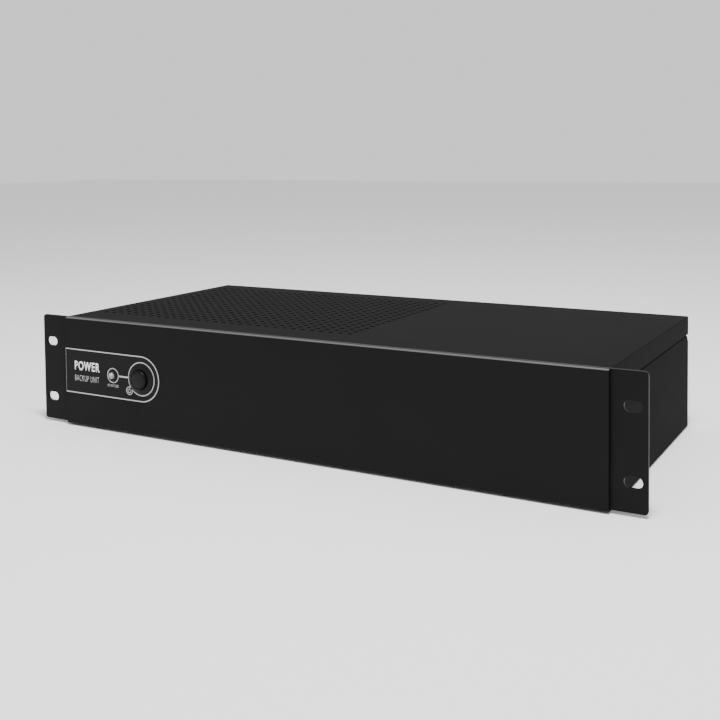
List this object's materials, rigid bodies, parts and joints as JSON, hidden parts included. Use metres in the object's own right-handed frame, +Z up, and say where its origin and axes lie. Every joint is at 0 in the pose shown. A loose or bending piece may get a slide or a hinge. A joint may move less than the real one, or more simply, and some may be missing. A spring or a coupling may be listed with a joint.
{
  "type": "rack-mount uninterruptible power supply",
  "caption": "Flat black rack-mount backup power unit: eared front panel with a round push button and lamp, vented lid, rear mains sockets and fan.",
  "frame": {"origin": "centre of the floor's underside", "axes": "+X to the right as seen from the front, +Y to the rear, +Z up"},
  "size_m": [0.4826, 0.231, 0.0859],
  "materials": {
    "powder_black": "fine-textured powder coat, satin",
    "powder_black_lid": "fine-textured powder coat, satin",
    "powder_black_front": "fine-textured powder coat, matt",
    "zinc_steel": "zinc plated",
    "black_steel": "black oxide",
    "spring_steel": "drawn wire",
    "label_film": "printed film, satin",
    "black_nylon": "satin moulding",
    "black_button": "semi-gloss moulding",
    "lamp_lens": "water-clear epoxy",
    "tinned_brass": "tinned",
    "battery_case": "moulded case",
    "foam": "closed-cell foam",
    "lead_black": "insulated wire",
    "lead_red": "insulated wire",
    "lamination": "varnished laminations",
    "coil_tape": "polyester tape",
    "circuit_green": "solder mask",
    "brass": "turned",
    "sink_aluminium": "extruded",
    "component_black": "moulded epoxy",
    "capacitor_sleeve": "shrunk sleeve",
    "choke_copper": "enamelled winding",
    "relay_case": "moulded case",
    "connector_white": "nylon",
    "socket_black": "moulded",
    "nickel": "nickel plated",
    "breaker_button": "moulded",
    "port_shell": "tinned shell",
    "fan_black": "moulded",
    "chrome_wire": "plated"
  },
  "bodies": {
    "case": {"base_tray": "powder_black", "battery_1": "battery_case", "battery_1_strap": "zinc_steel", "battery_2": "battery_case", "battery_2_strap": "zinc_steel", "battery_connectors": "connector_white", "battery_fuse": "component_black", "battery_link": "lead_black", "battery_pads": "foam", "battery_terminals": "tinned_brass", "board_screws": "zinc_steel", "board_standoffs": "brass", "breaker_body": "socket_black", "breaker_nut": "nickel", "button_spring": "spring_steel", "buzzer": "component_black", "capacitors": "capacitor_sleeve", "chips": "component_black", "choke": "choke_copper", "comms_board": "circuit_green", "data_jack": "port_shell", "earth_stud": "brass", "fan_frame": "fan_black", "fan_guard": "chrome_wire", "fan_screws": "zinc_steel", "fascia": "powder_black_front", "fascia_nuts": "zinc_steel", "floor_screws": "zinc_steel", "front_plate": "powder_black_front", "front_plate_screws": "zinc_steel", "heatsink_left": "sink_aluminium", "heatsink_right": "sink_aluminium", "inlet_pins": "nickel", "inlet_screws": "zinc_steel", "inlet_socket": "socket_black", "label_overlay": "label_film", "lamp_holder": "black_nylon", "lid": "powder_black_lid", "lid_rear_screws": "black_steel", "main_board": "circuit_green", "negative_lead": "lead_black", "outlet_1": "socket_black", "outlet_2": "socket_black", "outlet_3": "socket_black", "outlet_4": "socket_black", "positive_lead": "lead_red", "power_transistors": "component_black", "rear_panel": "powder_black", "relays": "relay_case", "status_lamp": "lamp_lens", "switch_body": "black_nylon", "switch_nut": "black_nylon", "switch_terminals": "tinned_brass", "transformer_clamp": "zinc_steel", "transformer_core": "lamination", "transformer_winding": "coil_tape", "usb_port": "port_shell"},
    "power_button": {"power_button": "black_button"},
    "breaker_button": {"breaker_button": "breaker_button"},
    "fan_rotor": {"fan_rotor": "fan_black"}
  },
  "joints": [
    {"name": "power_press", "type": "slide", "parent": "case", "child": "power_button", "axis": [0, 1, 0], "range_m": [0, 0.0025], "stiffness_N_per_m": 400, "springref_m": -0.0015, "deforming": ["button_spring"]},
    {"name": "breaker_pop", "type": "slide", "parent": "case", "child": "breaker_button", "axis": [0, 1, 0], "range_m": [0, 0.003]},
    {"name": "fan_spin", "type": "hinge", "parent": "case", "child": "fan_rotor", "pos_m": [-0.1745, 0.09195, 0.042], "axis": [0, 1, 0], "continuous": true}
  ]
}
